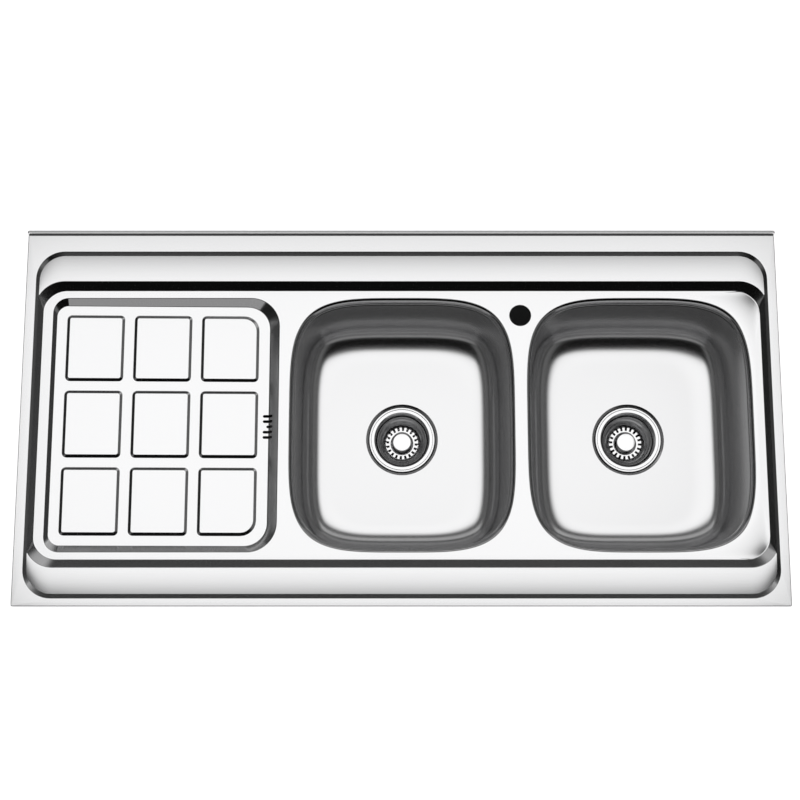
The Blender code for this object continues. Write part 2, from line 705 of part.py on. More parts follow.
def spigot_profile(root, tip):
    # A hose spigot with sawtooth ribs, along -Z from its root.
    profile = [(0, root), (SPIGOT_RADIUS, root)]
    pitch = (root - tip) / (SPIGOT_RIBS + 2)
    for rib in range(SPIGOT_RIBS):
        start = tip + (SPIGOT_RIBS - rib) * pitch
        profile.append((SPIGOT_RADIUS, start))
        profile.append((SPIGOT_RADIUS + SPIGOT_RIB, start))
    return profile + [(SPIGOT_RADIUS, tip), (0, tip)]


def build_tray_outlet():
    left, right = SLOT_START - CUP_MARGIN, SLOT_END + CUP_WALL_MARGIN
    half = (SLOT_COUNT - 1) / 2 * SLOT_PITCH + SLOT_WIDTH / 2 + CUP_MARGIN
    bottom = tray_floor_z(FLOOR_BOX[1]) - CUP_DEPTH
    upright = (math.pi / 2, 0, 0)
    place = (0, SLOT_Y, 0)

    gasket_top = SHEET + GAP
    gasket_outline = under_tray(gasket_top, left, right)
    gasket_outline += reversed(under_tray(gasket_top + GASKET, left, right))
    gasket_mesh = prism_mesh("tray_outlet_gasket", gasket_outline, -half, half)
    gasket = add_part("tray_outlet_gasket", gasket_mesh, "black_rubber", None, place, upright)

    cup_outline = under_tray(gasket_top + GASKET + GAP, left, right) + [(right, bottom), (left, bottom)]
    cup_mesh = prism_mesh("tray_outlet_cup", cup_outline, -half, half)
    cup = add_part("tray_outlet_cup", cup_mesh, "black_plastic", None, place, upright)

    well = (left + CUP_WALL, right - CUP_WALL, CUP_WALL - half, half - CUP_WALL)
    well_outline = rounded_rectangle(well, (CUP_WALL,) * 4, SLOT_END_STEPS)
    well_mesh = prism_mesh("cup_well", well_outline, bottom + CUP_WALL, RIM_HEIGHT)
    well_cutter = add_cutter("cup_well", well_mesh, None, place)
    combine(gasket, well_cutter, "DIFFERENCE")
    combine(cup, well_cutter, "DIFFERENCE")

    spigot_place = ((left + right) / 2, SLOT_Y, 0)
    tip = bottom - SPIGOT_LENGTH
    spigot_mesh = turned_mesh("cup_spigot", spigot_profile(bottom + CUP_WALL / 2, tip))
    spigot = add_cutter("cup_spigot", spigot_mesh, None, spigot_place)
    turn(spigot, SPIGOT_ROUND)
    combine(cup, spigot, "UNION")
    bore_outline = circle((0, 0), SPIGOT_BORE, SPIGOT_ROUND)
    bore_mesh = prism_mesh("cup_bore", bore_outline, tip - CUT_OVER, bottom + CUP_WALL + CUT_OVER)
    combine(cup, add_cutter("cup_bore", bore_mesh, None, spigot_place), "DIFFERENCE")


def build_strainer_body(side, waste):
    under_flange = -FLANGE_THICK
    floor = -CUP_FLOOR
    tail_end = floor - BODY_WALL - TAIL_LENGTH
    profile = [
        (FLANGE_RADIUS - FLANGE_EDGE, 0),
        (FLANGE_RADIUS, -FLANGE_EDGE),
        (FLANGE_RADIUS, under_flange),
        (CUP_RADIUS, under_flange),
        (CUP_RADIUS, -THREAD_LENGTH),
        (CUP_FLOOR_RADIUS + BODY_WALL, floor - BODY_WALL),
        (TAIL_RADIUS, floor - BODY_WALL),
        (TAIL_RADIUS, tail_end),
        (TAIL_BORE, tail_end),
        (TAIL_BORE, floor),
        (CUP_FLOOR_RADIUS, floor),
        (SEAT_INNER, -SEAT_DEPTH),
        (SEAT_OUTER, -SEAT_DEPTH),
        (DISH_RADIUS, -DISH_ROLL),
        (DISH_RADIUS + DISH_ROLL, 0),
    ]
    add_turned(f"{side}_strainer_body", profile, ROUND, "polished_steel", waste)
    return tail_end


def build_clamp(side, waste):
    # Seal above the recess, then washers and the lugged nut below it.
    seal_top = -FLANGE_THICK - GAP
    seal = washer_profile(DRAIN_RADIUS + GAP, FLANGE_RADIUS - SEAL_INSET, seal_top, SEAL_THICK)
    add_turned(f"{side}_flange_seal", seal, HIDDEN_ROUND, "black_rubber", waste)
    inner = clear_bore(CUP_RADIUS + THREAD_GAP, HIDDEN_ROUND)
    top = -RECESS_UNDER - GAP
    under = washer_profile(inner, inner + WASHER_WIDTH, top, UNDER_WASHER)
    add_turned(f"{side}_under_washer", under, HIDDEN_ROUND, "black_rubber", waste)
    top -= UNDER_WASHER + GAP
    slip = washer_profile(inner, inner + WASHER_WIDTH, top, FRICTION_WASHER)
    add_turned(f"{side}_friction_washer", slip, HIDDEN_ROUND, "slip_card", waste)
    top -= FRICTION_WASHER + GAP
    outer = lugged_circle(inner + LOCK_NUT_WALL, LUG_HEIGHT)
    bore = circle((0, 0), clear_bore(CUP_RADIUS + THREAD_GAP, NUT_SIDES), NUT_SIDES)
    foot = top - LOCK_NUT_HEIGHT
    add_nut(f"{side}_lock_nut", [(outer, top), (outer, foot), (bore, foot), (bore, top)], waste)


def add_nut(name, levels, waste):
    bm = bmesh.new()
    rings = [add_ring(bm, points, height) for points, height in levels]
    loft(bm, rings + rings[:1])
    bmesh.ops.recalc_face_normals(bm, faces=bm.faces)
    add_part(name, mesh_from(bm, name), "white_plastic", waste)


def build_basket(side, waste):
    # The inner surface; every second segment of the foot and the tooth ring is cut out.
    rim_z = -SEAT_DEPTH + GAP + BASKET_SHEET
    bm = bmesh.new()

    def ring_at(radius, height):
        return add_ring(bm, circle((0, 0), radius, 2 * TOOTH_COUNT), height)

    wall = [ring_at(BASKET_RIM, rim_z), ring_at(BASKET_NECK, rim_z)]
    slotted = [
        ring_at(BASKET_FOOT, BASKET_FOOT_RISE - BASKET_DEPTH),
        ring_at(BASKET_FLOOR, -BASKET_DEPTH),
        ring_at(TOOTH_ROOT, -BASKET_DEPTH),
    ]
    loft(bm, wall + slotted + [ring_at(BASKET_EYE, -BASKET_DEPTH)])
    for upper, lower in zip(slotted, slotted[1:]):
        for index in range(0, len(upper), 2):
            corners = (upper[index], upper[index + 1], lower[index + 1], lower[index])
            bm.faces.remove(bm.faces.get(corners))
    loose = [edge for edge in bm.edges if not edge.link_faces]
    bmesh.ops.delete(bm, geom=loose, context="EDGES")
    add_sheet(f"{side}_basket", bm, BASKET_SHEET, "polished_steel", waste)


def build_stopper(side, waste):
    shoulder = STOPPER_TOP - STOPPER_BOSS_HEIGHT
    bottom = STOPPER_TOP - STOPPER_HEIGHT
    well = KNOB_SEAT - STEM_LENGTH - GAP
    profile = [
        (0, well),
        (STEM_RADIUS + GAP, well),
        (STEM_RADIUS + GAP, STOPPER_TOP),
        (STOPPER_BOSS, STOPPER_TOP),
        (STOPPER_BOSS, shoulder),
        (STOPPER_RADIUS - STOPPER_CHAMFER, shoulder),
        (STOPPER_RADIUS, bottom + STOPPER_CHAMFER),
        (STOPPER_RADIUS - STOPPER_CHAMFER, bottom),
        (0, bottom),
    ]
    add_turned(f"{side}_basket_stopper", profile, HIDDEN_ROUND, "black_rubber", waste)


def build_knob(side, waste):
    crown = KNOB_SEAT + KNOB_HEIGHT
    edge = crown - KNOB_DOME
    profile = []
    for step in range(DOME_STEPS + 1):
        angle = math.pi / 2 * step / DOME_STEPS
        profile.append((KNOB_RADIUS * math.sin(angle), edge + KNOB_DOME * math.cos(angle)))
    profile += [
        (KNOB_RADIUS - KNOB_EDGE, edge - KNOB_EDGE),
        (KNOB_NECK, edge - KNOB_EDGE),
        (KNOB_FOOT, KNOB_SEAT + KNOB_EDGE),
        (KNOB_FOOT, KNOB_SEAT),
        (STEM_RADIUS, KNOB_SEAT),
        (STEM_RADIUS, KNOB_SEAT - STEM_LENGTH),
        (0, KNOB_SEAT - STEM_LENGTH),
    ]
    add_turned(f"{side}_basket_knob", profile, HIDDEN_ROUND, "polished_steel", waste)


def build_outlet(side, waste, tail_end):
    bore = TAILPIECE_RADIUS - TAILPIECE_WALL
    rim = TAIL_RADIUS - GAP
    top = tail_end - GAP
    washer = washer_profile(bore, rim, top, TAIL_WASHER)
    add_turned(f"{side}_tail_washer", washer, HIDDEN_ROUND, "black_rubber", waste)
    top -= TAIL_WASHER + GAP
    under = top - TAILPIECE_FLANGE
    end = top - TAILPIECE_LENGTH
    profile = [(rim, top), (rim, under), (TAILPIECE_RADIUS, under)]
    profile += [(TAILPIECE_RADIUS, end), (bore, end), (bore, top)]
    tailpiece = add_turned(f"{side}_tailpiece", profile, HIDDEN_ROUND, "white_plastic", waste)
    if side == "left":
        add_branch(tailpiece, waste, top - BRANCH_DROP)
    lip_top = under - GAP
    foot = lip_top - COUPLING_LIP
    inner = clear_bore(TAIL_RADIUS + THREAD_GAP, NUT_SIDES)
    outer = lugged_circle(inner + COUPLING_WALL, COUPLING_LUG)
    thread = circle((0, 0), inner, NUT_SIDES)
    neck = circle((0, 0), clear_bore(TAILPIECE_RADIUS + THREAD_GAP, NUT_SIDES), NUT_SIDES)
    grip = tail_end + COUPLING_GRIP
    levels = [(outer, grip), (outer, foot), (neck, foot), (neck, lip_top), (thread, lip_top), (thread, grip)]
    add_nut(f"{side}_coupling_nut", levels, waste)


def add_branch(tailpiece, waste, height):
    # Side spigot for the tray outlet's hose, pointing at the tray.
    root = -TAILPIECE_RADIUS + TAILPIECE_WALL / 2
    tip = root - SPIGOT_LENGTH
    sideways = (0, math.pi / 2, 0)
    place = (0, 0, height)
    branch_mesh = turned_mesh("branch_spigot", spigot_profile(root, tip))
    branch = add_cutter("branch_spigot", branch_mesh, waste, place, sideways)
    turn(branch, SPIGOT_ROUND)
    combine(tailpiece, branch, "UNION")
    bore_outline = circle((0, 0), SPIGOT_BORE, SPIGOT_ROUND)
    bore_mesh = prism_mesh("branch_bore", bore_outline, tip - CUT_OVER, 0)
    combine(tailpiece, add_cutter("branch_bore", bore_mesh, waste, place, sideways), "DIFFERENCE")


def build_waste(side):
    # The empty stands on the axis that the basket lifts along, level with the flange's top.
    waste = bpy.data.objects.new(f"{side}_waste_axis", None)
    waste.location = (BOWL_X[side], BAY_Y, FLANGE_Z)
    parts.objects.link(waste)
    tail_end = build_strainer_body(side, waste)
    build_clamp(side, waste)
    build_sound_pad(side, waste)
    build_basket(side, waste)
    build_stopper(side, waste)
    build_knob(side, waste)
    build_outlet(side, waste, tail_end)


clear_scene()
parts = new_collection("lay_on_sink")
cutters = new_collection("cutters")
build_deck()
build_stiffeners()
build_tray_outlet()
for bowl_side in BOWL_X:
    build_bowl(bowl_side)
    build_waste(bowl_side)
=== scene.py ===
import bmesh
import bpy
import math
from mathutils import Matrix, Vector


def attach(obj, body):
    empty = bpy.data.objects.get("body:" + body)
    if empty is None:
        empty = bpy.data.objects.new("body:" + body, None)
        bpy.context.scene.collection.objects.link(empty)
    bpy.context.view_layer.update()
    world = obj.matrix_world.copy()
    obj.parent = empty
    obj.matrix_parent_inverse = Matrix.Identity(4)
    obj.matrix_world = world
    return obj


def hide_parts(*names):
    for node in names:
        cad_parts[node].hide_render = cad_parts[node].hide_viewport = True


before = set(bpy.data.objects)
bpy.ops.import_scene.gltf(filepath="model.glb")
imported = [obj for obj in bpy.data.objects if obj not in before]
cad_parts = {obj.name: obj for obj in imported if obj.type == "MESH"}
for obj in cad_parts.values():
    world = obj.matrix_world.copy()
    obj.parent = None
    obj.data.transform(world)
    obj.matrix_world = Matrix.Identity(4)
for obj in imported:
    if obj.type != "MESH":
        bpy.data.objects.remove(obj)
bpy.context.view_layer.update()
mm = 0.001
weld = 0.002 * mm  # points closer than this become one
print("frame loaded:", len(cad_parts), "nodes")


# tools for meshes: every sheet is drawn ring by ring, from one edge to the next

def ringEdges(ring):
    inside = set(ring)
    edges = (edge for vert in ring for edge in vert.link_edges if edge.other_vert(vert) in inside)
    return list(dict.fromkeys(edges))  # each edge once, in the same order at every run


def startRing(bm, places):  # a circle whose points are pulled to their places
    ring = bmesh.ops.create_circle(bm, segments=len(places), radius=1)["verts"]
    for vert, place in zip(ring, places):
        vert.co = place
    return ring


def drawOn(bm, ring, places):  # the ring's edges extruded, and the new points moved to their places
    grown = bmesh.ops.extrude_edge_only(bm, edges=ringEdges(ring))["geom"]
    fresh = {item for item in grown if isinstance(item, bmesh.types.BMVert)}
    after = []
    for vert, place in zip(ring, places):
        after.append(next(edge.other_vert(vert) for edge in vert.link_edges if edge.other_vert(vert) in fresh))
        after[-1].co = place
    return after


def sweep(bm, lines):  # a sheet drawn from line to line; returns its first and last rings
    ring = first = startRing(bm, lines[0])
    for places in lines[1:]:
        ring = drawOn(bm, ring, places)
    return first, ring


def fillFlat(bm, rings):
    edges = [edge for ring in rings for edge in ringEdges(ring)]
    bmesh.ops.triangle_fill(bm, use_beauty=True, use_dissolve=False, edges=edges, normal=(0, 0, 1))


def boxCorners(box):  # each corner's place and the ways in from it
    x0, x1, y0, y1 = box
    return (x0, y0, 1, 1), (x1, y0, -1, 1), (x1, y1, -1, -1), (x0, y1, 1, -1)


def roundPlaces(box, radii, height, steps):  # points of a rectangle with round corners
    places = []
    for corner, (cornerX, cornerY, inX, inY) in enumerate(boxCorners(box)):
        for step in range(steps + 1):
            angle = math.radians(180 + 90 * corner + 90 * step / steps)
            x = cornerX + radii[corner] * (inX + math.cos(angle))
            y = cornerY + radii[corner] * (inY + math.sin(angle))
            z = height(x) if callable(height) else height
            places.append((x * mm, y * mm, z * mm))
    return places


def circlePlaces(centre, radius, height, sides):
    x, y = centre
    turns = [2 * math.pi * side / sides for side in range(sides)]
    return [((x + radius * math.cos(a)) * mm, (y + radius * math.sin(a)) * mm, height * mm) for a in turns]


def between(first, last, run, fall):  # a line part of the way from one line to another
    return [(x0 + (x1 - x0) * run, y0 + (y1 - y0) * run, z0 + (z1 - z0) * fall)
            for (x0, y0, z0), (x1, y1, z1) in zip(first, last)]


def eased(part):  # from 0 to 1, level at both ends
    part = min(max(part, 0), 1)
    return part * part * (3 - 2 * part)


def evenSteps(start, end, count):
    return [start + (end - start) * step / count for step in range(count + 1)]


def evenFall(run, top, foot):  # how far down an even slope with rounded edges is at this part of its run
    if run < top:
        fall = run * run / (2 * top)
    elif run > 1 - foot:
        fall = 1 - top / 2 - foot / 2 - (1 - run) ** 2 / (2 * foot)
    else:
        fall = run - top / 2
    return fall / (1 - top / 2 - foot / 2)


def evenSlope(first, last, top, foot):
    runs = [0, top / 3, top / 1.5, top] if top else [0, 0.06]  # a crisp edge where there is no rounding
    runs += [1 - foot, 1 - foot / 1.5, 1 - foot / 3, 1] if foot else [0.94, 1]
    return [between(first, last, run, evenFall(run, top, foot)) for run in runs]


def easedSlope(first, last):  # lines that level out towards the last one, close together at both ends
    runs = (0.02, 0.1, 0.25, 0.45, 0.7, 0.9, 0.98, 1)
    return [between(first, last, run, 1 - (1 - run) ** 2) for run in runs]


def faceUp(bm):
    bmesh.ops.recalc_face_normals(bm, faces=bm.faces)
    if sum(face.normal.z * face.calc_area() for face in bm.faces) < 0:
        bmesh.ops.reverse_faces(bm, faces=bm.faces)


def settle(bm):  # points, edges and faces in an order that follows from their places alone
    weights = Vector((12.9898, 78.233, 37.719))
    bm.verts.sort(key=lambda vert: weights.dot(vert.co))
    bm.edges.sort(key=lambda edge: weights.dot(edge.verts[0].co + edge.verts[1].co))
    bm.faces.sort(key=lambda face: weights.dot(face.calc_center_median()))


def newPiece(name, bm, sharp=35):
    settle(bm)
    mesh = bpy.data.meshes.new(name)
    bm.to_mesh(mesh)
    bm.free()
    mesh.shade_smooth()
    mesh.set_sharp_from_angle(angle=math.radians(sharp))
    piece = bpy.data.objects.new(name, mesh)
    bpy.context.collection.objects.link(piece)
    return piece


def giveThickness(piece, thickness):
    wall = piece.modifiers.new("wall", "SOLIDIFY")
    wall.thickness = thickness * mm
    wall.offset = -1
    wall.use_quality_normals = True


def applyModifiers(piece):  # the shaped result becomes the piece's own mesh
    seen = piece.evaluated_get(bpy.context.evaluated_depsgraph_get())
    mesh = bpy.data.meshes.new_from_object(seen)
    piece.modifiers.clear()
    piece.data = mesh


def combine(piece, tool, operation):  # a Boolean with a tool that is thrown away
    cut = piece.modifiers.new("combine", "BOOLEAN")
    cut.operation = operation
    cut.object = tool
    cut.solver = "EXACT"
    applyModifiers(piece)
    bpy.data.objects.remove(tool, do_unlink=True)


def evenShading(piece, sharp=35):  # flats keep a flat look beside their rounded edges
    piece.data.set_sharp_from_angle(angle=math.radians(sharp))
    weighted = piece.modifiers.new("even shading", "WEIGHTED_NORMAL")
    weighted.keep_sharp = True


def dress(piece, body, finish, node):
    evenShading(piece)
    piece.data.materials.clear()
    piece.data.materials.append(finishes[finish].material)
    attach(piece, body)
    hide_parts(node)


# tools for shaders

class Wire:  # one socket, with the sums that a shader needs
    def __init__(self, finish, socket):
        self.finish = finish
        self.socket = socket

    def sums(self, operation, one, two):
        return self.finish.node("ShaderNodeMath", {"operation": operation}, {0: one, 1: two})

    def __add__(self, other):
        return self.sums("ADD", self, other)

    def __sub__(self, other):
        return self.sums("SUBTRACT", self, other)

    def __rsub__(self, other):
        return self.sums("SUBTRACT", other, self)

    def __mul__(self, other):
        return self.sums("MULTIPLY", self, other)

    __radd__ = __add__
    __rmul__ = __mul__


class Finish:  # a node tree and the few ways of adding to it
    def __init__(self, name, tree=None):
        if tree is None:
            self.material = bpy.data.materials.new(name)
            self.material.use_nodes = True
            tree = self.material.node_tree
        self.tree = tree
        self.shader = tree.nodes.get("Principled BSDF")
        self.place = self.node("ShaderNodeTexCoord", {}, {}, "Object")

    def node(self, kind, settings, values, output=0):
        made = self.tree.nodes.new(kind)
        for name, value in settings.items():
            setattr(made, name, value)
        for key, value in values.items():
            self.feed(made.inputs[key], value)
        return Wire(self, made.outputs[output])

    def feed(self, socket, value):
        if isinstance(value, Wire):
            self.tree.links.new(value.socket, socket)
        else:
            socket.default_value = value

    def give(self, **values):
        for name, value in values.items():
            self.feed(self.shader.inputs[name.replace("_", " ")], value)

    def noise(self, scale, detail=3, stretch=(1, 1, 1)):
        place = self.node("ShaderNodeMapping", {}, {"Vector": self.place, "Scale": stretch})
        return self.node("ShaderNodeTexNoise", {}, {"Vector": place, "Scale": scale, "Detail": detail})

    def blend(self, factor, one, two):
        values = {"Factor": factor, 6: one, 7: two}
        return self.node("ShaderNodeMix", {"data_type": "RGBA"}, values, 2)

    def grey(self, share):  # black at 0, white at 1
        return self.blend(share, (0, 0, 0, 1), (1, 1, 1, 1))

    def bump(self, height, strength, distance):
        return self.node("ShaderNodeBump", {}, {"Strength": strength, "Distance": distance, "Height": height})

    def ramp(self, value, low, high, start=0.0, end=1.0):  # smooth, from start at low to end at high
        values = {"Value": value, "From Min": low, "From Max": high, "To Min": start, "To Max": end}
        return self.node("ShaderNodeMapRange", {"interpolation_type": "SMOOTHSTEP"}, values)


steelGrain = {"streakScale": 900, "cloudScale": 6, "cloudShare": 0.7, "streakShare": 0.3, "brushHeight": 0.0001}
plainGrain = {"mottleScale": 25, "roughSpread": 0.16, "bumpHeight": 0.0003}


def makeSteel(name, pale, dark, roughness, grain, along, brush):
    steel = Finish(name)
    streaks = steel.noise(steelGrain["streakScale"], 2, along)  # fine polishing lines
    cloud = steel.noise(steelGrain["cloudScale"])  # slow drift in the sheen
    mixed = cloud * steelGrain["cloudShare"] + streaks * steelGrain["streakShare"]
    colour = steel.blend(mixed, (*dark, 1), (*pale, 1))
    rough = roughness + (streaks - 0.5) * grain + (cloud - 0.5) * grain
    bump = steel.bump(streaks, brush, steelGrain["brushHeight"])
    steel.give(Base_Color=colour, Roughness=rough, Metallic=1.0, Normal=bump)
    return steel


def makePlain(name, pale, dark, roughness, grainScale, depth):
    plain = Finish(name)
    grain = plain.noise(grainScale, 4)
    mottle = plain.noise(plainGrain["mottleScale"])
    colour = plain.blend(mottle, (*dark, 1), (*pale, 1))
    rough = roughness + (grain - 0.5) * plainGrain["roughSpread"]
    plain.give(Base_Color=colour, Roughness=rough, Normal=plain.bump(grain, depth, plainGrain["bumpHeight"]))
    return plain


finishes = {
    "deckSteel": makeSteel("deck_steel", (0.82, 0.82, 0.825), (0.79, 0.79, 0.795), 0.15, 0.03, (0.03, 1, 1), 0.02),
    "bowlSteel": makeSteel("bowl_steel", (0.83, 0.83, 0.835), (0.79, 0.79, 0.795), 0.22, 0.03, (1, 1, 0.1), 0.015),
    "wasteSteel": makeSteel("waste_steel", (0.86, 0.86, 0.865), (0.82, 0.82, 0.825), 0.10, 0.03, (1, 1, 1), 0.02),
    "zincPlate": makeSteel("zinc_plate", (0.58, 0.59, 0.61), (0.46, 0.47, 0.49), 0.40, 0.14, (1, 1, 1), 0.2),
    "blackRubber": makePlain("black_rubber", (0.045, 0.045, 0.045), (0.022, 0.022, 0.022), 0.68, 900, 0.25),
    "dampingMat": makePlain("damping_mat", (0.17, 0.17, 0.18), (0.10, 0.10, 0.11), 0.86, 350, 0.6),
    "whitePlastic": makePlain("white_plastic", (0.82, 0.82, 0.80), (0.76, 0.76, 0.74), 0.42, 700, 0.12),
    "blackPlastic": makePlain("black_plastic", (0.05, 0.05, 0.05), (0.03, 0.03, 0.03), 0.50, 700, 0.15),
    "slipCard": makePlain("slip_card", (0.72, 0.67, 0.55), (0.62, 0.57, 0.45), 0.82, 600, 0.4),
}
print("finishes made:", len(finishes))


# deck: rim, upstand, steps, tray and bowl lips in one pressed sheet, sizes in millimetres

deckSizes = {
    "halfLength": 600, "halfDepth": 300, "rim": 35, "ledge": 31, "deck": 23, "thickness": 1.0,
    "restLip": 14, "bend": 1.4, "corner": 3, "bendSteps": 4, "cornerSteps": 20,
    "upstandFoot": 292.7, "upstandTop": 294.9, "upstandRise": 7, "upstandFall": 0.13, "upstandLines": 6,
    "rimBox": (-584.6, 585.8, -288.3, 266.9), "rimRadius": 45,
    "footBox": (-579.4, 580.6, -280.3, 260.4), "footRadius": 40,
    "stepEnds": (-240.1, 218.3), "stepRadius": 46, "stepReach": 5.8, "tipSteps": 5, "straightSteps": 6,
    "stepRounding": 0.14, "edgeRounding": 0.08, "ledgeFall": 0.9, "tiltSteps": 12,
    "deckBox": (-572.2, 573.4, -226.1, 203.5), "deckRadius": 37, "cornerDips": (0, 1.5, 2.0, 0),
    "fieldBox": (-559.5, 563.4, -219.4, 196.4), "fieldRadii": (26, 100, 100, 26),
    "tapHole": (190.3, 163.8), "tapRadius": 17.5, "tapSides": 64,
}
tipAngle = math.acos(1 - deckSizes["stepReach"] / deckSizes["stepRadius"])  # where ledge and upper step meet
tipInset = deckSizes["stepRadius"] * (1 - math.sin(tipAngle))
deckSizes["tips"] = (deckSizes["stepEnds"][0] + tipInset, deckSizes["stepEnds"][1] - tipInset)
bowlSizes = {
    "centres": {"left": 1.3, "right": 379.3}, "middleY": -11.45, "sides": 144,
    "half": (180.2, 204.8), "powers": (3.8, 4.6),
    "lipOut": 1.6, "lipIn": 8, "lipDrop": 10, "lipSteps": 10, "lipFoot": 9,
    "collarTop": 13.7, "collarInset": 6.4, "seam": ((6.6, 8.6), (9.0, 7.1)), "floor": -127, "thickness": 1.0,
    "wallInset": 17.5, "wallShift": (-2, -1), "floorHalf": (106.5, 132.5), "floorPowers": (5, 5),
    "floorShift": (-4.8, -7.2), "filletFall": 32, "filletSteps": 26, "wallLean": 4.5,
    "recess": 60.3, "recessFoot": 53.6, "recessFloor": -130.5, "recessRounding": 0.12, "drain": 46.5,
}
traySizes = {
    "box": (-557.4, -193.6, -216.0, 193.1), "radii": (24, 47, 47, 24), "cornerSteps": 12,
    "floorBox": (-550.9, -211.2, -203.9, 180.3), "floorRadii": (18, 35.7, 35.7, 18),
    "leftFloor": 17, "rightFloor": 8, "wallRounding": 0.1,
    "padsX": (-535.3, -227.2), "padsY": (-188.9, 166.0), "padGap": 14.6, "padRise": 2.5, "padBevel": 5.4,
    "padRadius": 8, "padOuterRadius": 25, "padSteps": 6, "padRounding": 0.16,
    "slotX": (-219.8, -204.2), "slotY": -14.85, "slotWidth": 4.5, "slotPitch": 8.5, "middleSlotCut": 5.7,
    "slotSteps": 6, "slotFlat": 0.01,
}


def bowlPlaces(side, inset, height, half=bowlSizes["half"], powers=bowlSizes["powers"], shift=(0, 0)):
    middleX, middleY = bowlSizes["centres"][side] + shift[0], bowlSizes["middleY"] + shift[1]
    (halfX, halfY), (powerX, powerY) = half, powers  # a squared-off oval, moved in along its normals
    places = []
    for step in range(bowlSizes["sides"]):
        angle = 2 * math.pi * step / bowlSizes["sides"]
        x = math.copysign(abs(math.cos(angle)) ** (2 / powerX), math.cos(angle))
        y = math.copysign(abs(math.sin(angle)) ** (2 / powerY), math.sin(angle))
        normal = Vector((math.copysign(abs(x) ** (powerX - 1), x) * powerX / halfX,
                         math.copysign(abs(y) ** (powerY - 1), y) * powerY / halfY)).normalized()
        places.append(((middleX + halfX * x - inset * normal.x) * mm,
                       (middleY + halfY * y - inset * normal.y) * mm, height * mm))
    return places


def drainPlaces(side, radius, height):
    return circlePlaces((bowlSizes["centres"][side], bowlSizes["middleY"]), radius, height, bowlSizes["sides"])


def cornerRing(box, radii, corner):  # a ring of four corners, each listed from the side to the front or rear
    places = []
    for number, (x, y, inX, inY) in enumerate(boxCorners(box)):
        points = [(x + inX * inward, y + inY * along, z) for inward, along, z in corner(radii[number], number)]
        places += [(x * mm, y * mm, z * mm) for x, y, z in (points[::-1] if number % 2 else points)]
    return places


def arcPoints(radius, angles, height):  # how far in from the side and from the front or rear
    return [(radius * (1 - math.cos(angle)), radius * (1 - math.sin(angle)), height) for angle in angles]


def rimRing(box, cornerRadius, height):  # straight from the crescent's tip to the round corner, then round it
    straightSteps = deckSizes["straightSteps"]
    bends = evenSteps(0, math.pi / 2, deckSizes["cornerSteps"] - straightSteps)

    def corner(radius, number):
        far = abs(deckSizes["tips"][number // 2] - box[2 + number // 2])
        straight = [(0, far, height)] * deckSizes["tipSteps"]
        straight += [(0, along, height) for along in evenSteps(far, radius, straightSteps)[:-1]]
        return straight + arcPoints(radius, bends, height)

    return cornerRing(box, (cornerRadius,) * 4, corner)


def ledgeRing():  # inner edge of the ledge; all the points beside a tip lie on it
    sizes = deckSizes

    def corner(radius, number):
        arc = arcPoints(radius, evenSteps(tipAngle, math.pi / 2, sizes["cornerSteps"]), sizes["ledge"])
        points = [(inward - sizes["stepReach"], along, height) for inward, along, height in arc]
        return points[:1] * sizes["tipSteps"] + points

    x0, x1 = sizes["footBox"][:2]
    return cornerRing((x0, x1, *sizes["stepEnds"]), (sizes["stepRadius"],) * 4, corner)


def deckRing(box, radii, dips):  # dips lower the middles of the corners
    sizes = deckSizes
    angles = evenSteps(0, tipAngle, sizes["tipSteps"])[:-1] + evenSteps(tipAngle, math.pi / 2, sizes["cornerSteps"])

    def corner(radius, number):
        return [(inward, along, height - dips[number] * math.sin(2 * angle))
                for angle, (inward, along, height) in zip(angles, arcPoints(radius, angles, sizes["deck"]))]

    return cornerRing(box, radii, corner)


def outlinePlaces(inset, height):
    sizes = deckSizes
    x, y = sizes["halfLength"] - inset, sizes["halfDepth"] - inset
    radius = max(sizes["corner"] - inset, sizes["corner"] - sizes["bend"])
    return rimRing((-x, x, -y, y), radius, height)


def upstandRise(y):  # a steep front face, then a top that falls a little to the rear
    sizes = deckSizes
    front = (y - sizes["upstandFoot"]) / (sizes["upstandTop"] - sizes["upstandFoot"])
    back = max(y - sizes["upstandTop"], 0) / (sizes["halfDepth"] - sizes["upstandTop"])
    return sizes["upstandRise"] * eased(front) - sizes["upstandFall"] * back


def addRim(bm):
    sizes = deckSizes
    bend, rim = sizes["bend"], sizes["rim"]
    turns = evenSteps(0, math.pi / 2, sizes["bendSteps"])
    lines = [outlinePlaces(sizes["restLip"], 0)]
    lines += [outlinePlaces(bend * (1 - math.sin(a)), bend * (1 - math.cos(a))) for a in turns]
    lines += [outlinePlaces(bend * (1 - math.cos(a)), rim - bend * (1 - math.sin(a))) for a in turns]
    lines.append(rimRing(sizes["rimBox"], sizes["rimRadius"], rim))
    sweep(bm, lines)
    for y in evenSteps(sizes["upstandFoot"], sizes["upstandTop"], sizes["upstandLines"]):
        everything = bm.verts[:] + bm.edges[:] + bm.faces[:]
        bmesh.ops.bisect_plane(bm, geom=everything, plane_co=(0, y * mm, 0), plane_no=(0, 1, 0))
    for vert in bm.verts:
        if vert.co.z > rim / 2 * mm:
            vert.co.z += upstandRise(vert.co.y / mm) * mm


def tilted(line):  # the ledge falls a little to its outer edge, though not at the crescents' tips
    quarter = len(line) // 4
    places = []
    for place, (x, y, z) in enumerate(line):
        number = place % quarter
        fromSide = quarter - 1 - number if place // quarter % 2 else number
        share = eased((fromSide - deckSizes["tipSteps"]) / deckSizes["tiltSteps"])
        places.append((x, y, z - deckSizes["ledgeFall"] * share * mm))
    return places


